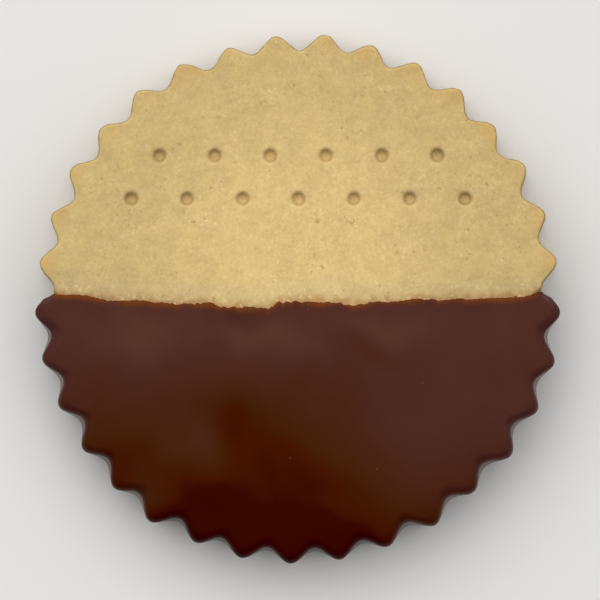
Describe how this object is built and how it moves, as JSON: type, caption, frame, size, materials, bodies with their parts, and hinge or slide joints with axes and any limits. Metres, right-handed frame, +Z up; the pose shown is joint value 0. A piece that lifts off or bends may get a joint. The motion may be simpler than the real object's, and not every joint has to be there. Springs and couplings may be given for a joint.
{
  "type": "shortbread biscuit",
  "caption": "Round shortbread biscuit with a fluted rim, one half dipped in chocolate that wraps its top, side and underside, lying flat.",
  "frame": {"origin": "middle of the biscuit's footprint, on the surface that it lies on", "axes": "+Z up through the thickness, +Y towards the bare half, -Y towards the dipped half, +X to the right with the bare half at the top"},
  "size_m": [0.0756, 0.0766, 0.0114],
  "materials": {
    "shortbread": "matte",
    "chocolate": "satin"
  },
  "bodies": {
    "root": {"shortbread": "shortbread", "chocolate_coat": "chocolate"}
  },
  "joints": []
}
